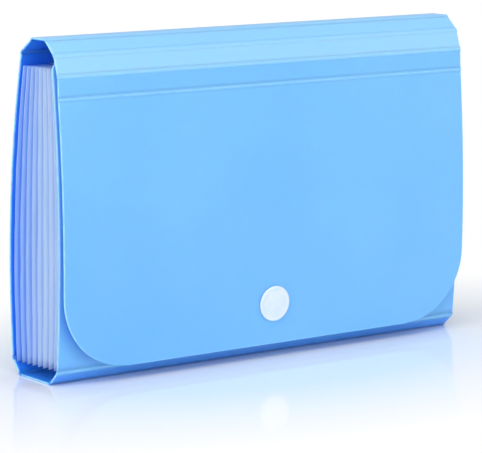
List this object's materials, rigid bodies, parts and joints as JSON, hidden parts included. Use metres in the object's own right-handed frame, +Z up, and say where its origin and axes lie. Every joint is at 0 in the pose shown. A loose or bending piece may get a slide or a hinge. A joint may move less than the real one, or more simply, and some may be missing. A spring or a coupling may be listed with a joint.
{
  "type": "coupon organizer wallet",
  "caption": "Expanding pocket wallet: a scored plastic cover folded round a pleated insert, with a round-cornered flap that shuts on a press snap.",
  "frame": {"origin": "on the ground under the middle of the closed wallet's box", "axes": "+X along the width to the right seen from the front, +Y from the front to the back, +Z up"},
  "size_m": [0.172, 0.0355, 0.1148],
  "materials": {
    "cover": "satin, slightly translucent blue polypropylene",
    "film": "frosted clear polypropylene film",
    "snap": "glossy white moulding"
  },
  "bodies": {
    "base": {"bottom_strip": "cover"},
    "front_lower": {"front_lower_strip": "cover"},
    "front": {"front_panel": "cover", "front_end_sheet": "film", "snap_stud": "snap", "snap_back_cap": "snap", "left_pleat_1": "film", "right_pleat_1": "film"},
    "rear_lower": {"rear_lower_strip": "cover"},
    "back": {"back_panel": "cover", "back_end_sheet": "film"},
    "top": {"rear_shoulder_strip": "cover", "top_strip": "cover"},
    "brow": {"brow_strip": "cover", "upper_front_strip": "cover"},
    "lower_front": {"lower_front_strip": "cover"},
    "flap": {"flap_panel": "cover", "snap_cap": "snap", "snap_socket": "snap"},
    "sheet_1": {"divider_1": "film", "left_pleat_2": "film", "right_pleat_2": "film"},
    "sheet_2": {"divider_2": "film", "left_pleat_3": "film", "right_pleat_3": "film"},
    "sheet_3": {"divider_3": "film", "left_pleat_4": "film", "right_pleat_4": "film"},
    "sheet_4": {"divider_4": "film", "left_pleat_5": "film", "right_pleat_5": "film"},
    "sheet_5": {"divider_5": "film", "left_pleat_6": "film", "right_pleat_6": "film"},
    "sheet_6": {"divider_6": "film", "left_pleat_7": "film", "right_pleat_7": "film"},
    "sheet_7": {"divider_7": "film", "left_pleat_8": "film", "right_pleat_8": "film"},
    "sheet_8": {"divider_8": "film", "left_pleat_9": "film", "right_pleat_9": "film"}
  },
  "joints": [
    {"name": "cover_open", "type": "hinge", "parent": "back", "child": "top", "pos_m": [0, 0.00839, 0.10975], "axis": [-1, 0, 0], "range_deg": [0, 100]},
    {"name": "top_front_fold", "type": "hinge", "parent": "top", "child": "brow", "pos_m": [0, -0.00616, 0.1145], "axis": [-1, 0, 0], "range_deg": [0, 115]},
    {"name": "score_fold", "type": "hinge", "parent": "brow", "child": "lower_front", "pos_m": [0, -0.01376, 0.10285], "axis": [-1, 0, 0], "range_deg": [0, 21]},
    {"name": "flap_lift", "type": "hinge", "parent": "lower_front", "child": "flap", "pos_m": [0, -0.01406, 0.0956], "axis": [-1, 0, 0], "range_deg": [0, 60]},
    {"name": "front_lower_fold", "type": "hinge", "parent": "base", "child": "front_lower", "pos_m": [0, -0.00661, 0.00035], "axis": [1, 0, 0], "range_deg": [0, 1.43]},
    {"name": "front_panel_fold", "type": "hinge", "parent": "front_lower", "child": "front", "pos_m": [0, -0.01131, 0.00475], "axis": [1, 0, 0], "range_deg": [0, 12.07]},
    {"name": "pocket_1_fold", "type": "hinge", "parent": "front", "child": "sheet_1", "pos_m": [0, -0.0079, 0.00595], "axis": [-1, 0, 0], "range_deg": [0, 3], "deforming": ["left_pleat_1", "right_pleat_1"]},
    {"name": "pocket_2_fold", "type": "hinge", "parent": "sheet_1", "child": "sheet_2", "pos_m": [0, -0.00494, 0.00594], "axis": [-1, 0, 0], "range_deg": [0, 3], "deforming": ["left_pleat_2", "right_pleat_2"]},
    {"name": "pocket_3_fold", "type": "hinge", "parent": "sheet_2", "child": "sheet_3", "pos_m": [0, -0.00197, 0.00594], "axis": [-1, 0, 0], "range_deg": [0, 3], "deforming": ["left_pleat_3", "right_pleat_3"]},
    {"name": "pocket_4_fold", "type": "hinge", "parent": "sheet_3", "child": "sheet_4", "pos_m": [0, 0.001, 0.00594], "axis": [-1, 0, 0], "range_deg": [0, 3], "deforming": ["left_pleat_4", "right_pleat_4"]},
    {"name": "pocket_5_fold", "type": "hinge", "parent": "sheet_4", "child": "sheet_5", "pos_m": [0, 0.00396, 0.00594], "axis": [-1, 0, 0], "range_deg": [0, 3], "deforming": ["left_pleat_5", "right_pleat_5"]},
    {"name": "pocket_6_fold", "type": "hinge", "parent": "sheet_5", "child": "sheet_6", "pos_m": [0, 0.00693, 0.00594], "axis": [-1, 0, 0], "range_deg": [0, 3], "deforming": ["left_pleat_6", "right_pleat_6"]},
    {"name": "pocket_7_fold", "type": "hinge", "parent": "sheet_6", "child": "sheet_7", "pos_m": [0, 0.00989, 0.00594], "axis": [-1, 0, 0], "range_deg": [0, 3], "deforming": ["left_pleat_7", "right_pleat_7"]},
    {"name": "pocket_8_fold", "type": "hinge", "parent": "sheet_7", "child": "sheet_8", "pos_m": [0, 0.01286, 0.00594], "axis": [-1, 0, 0], "range_deg": [0, 3], "deforming": ["left_pleat_8", "right_pleat_8"]},
    {"name": "pocket_9_fold", "type": "hinge", "parent": "sheet_8", "child": "back", "pos_m": [0, 0.01583, 0.00594], "axis": [-1, 0, 0], "range_deg": [0, 3], "deforming": ["left_pleat_9", "right_pleat_9"]},
    {"name": "rear_lower_fold", "type": "hinge", "parent": "back", "child": "rear_lower", "pos_m": [0, 0.01634, 0.00545], "axis": [1, 0, 0], "range_deg": [0, 21.39]}
  ],
  "couplings": [
    {"joint": "top_front_fold", "follows": "cover_open", "ratio": 1.15},
    {"joint": "score_fold", "follows": "flap_lift", "ratio": 0.35},
    {"joint": "front_lower_fold", "follows": "cover_open", "ratio": 0.0143},
    {"joint": "front_panel_fold", "follows": "cover_open", "ratio": 0.1207},
    {"joint": "pocket_1_fold", "follows": "cover_open", "ratio": 0.03},
    {"joint": "pocket_2_fold", "follows": "cover_open", "ratio": 0.03},
    {"joint": "pocket_3_fold", "follows": "cover_open", "ratio": 0.03},
    {"joint": "pocket_4_fold", "follows": "cover_open", "ratio": 0.03},
    {"joint": "pocket_5_fold", "follows": "cover_open", "ratio": 0.03},
    {"joint": "pocket_6_fold", "follows": "cover_open", "ratio": 0.03},
    {"joint": "pocket_7_fold", "follows": "cover_open", "ratio": 0.03},
    {"joint": "pocket_8_fold", "follows": "cover_open", "ratio": 0.03},
    {"joint": "pocket_9_fold", "follows": "cover_open", "ratio": 0.03},
    {"joint": "rear_lower_fold", "follows": "cover_open", "ratio": 0.2139}
  ]
}
